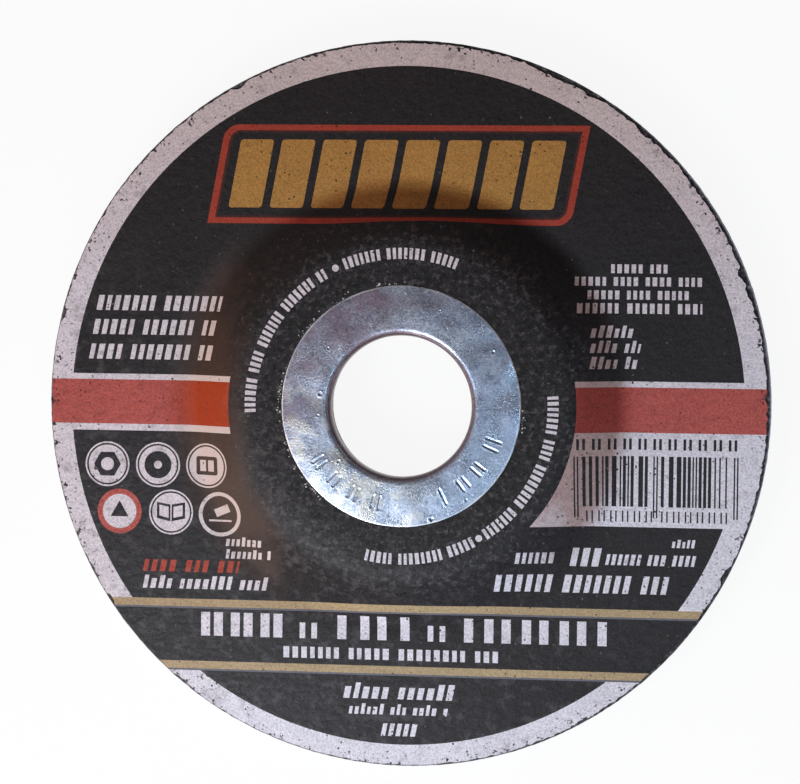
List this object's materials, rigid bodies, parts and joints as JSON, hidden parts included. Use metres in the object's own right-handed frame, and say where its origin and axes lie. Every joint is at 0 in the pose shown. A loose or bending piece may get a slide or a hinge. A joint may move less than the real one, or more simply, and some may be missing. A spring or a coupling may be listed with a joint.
{
  "type": "depressed-centre grinding disc",
  "caption": "Resin-bonded grinding disc with a raised hub, printed paper label and steel centre ring, for an angle grinder.",
  "frame": {"origin": "on the bore axis, in the plane of the working face that the disc lies on", "axes": "+Z along the bore axis, out of the label side; +X towards the right-hand red band of the label; +Y towards the label's framed panel"},
  "size_m": [0.115, 0.115, 0.0113],
  "materials": {
    "grit": "coarse resin-bonded grit, matt",
    "label_paper": "printed paper, satin",
    "zinc_steel": "zinc-plated pressed sheet, slightly spangled"
  },
  "bodies": {
    "root": {"abrasive_body": "grit", "paper_label": "label_paper", "centre_ring": "zinc_steel"}
  },
  "joints": []
}
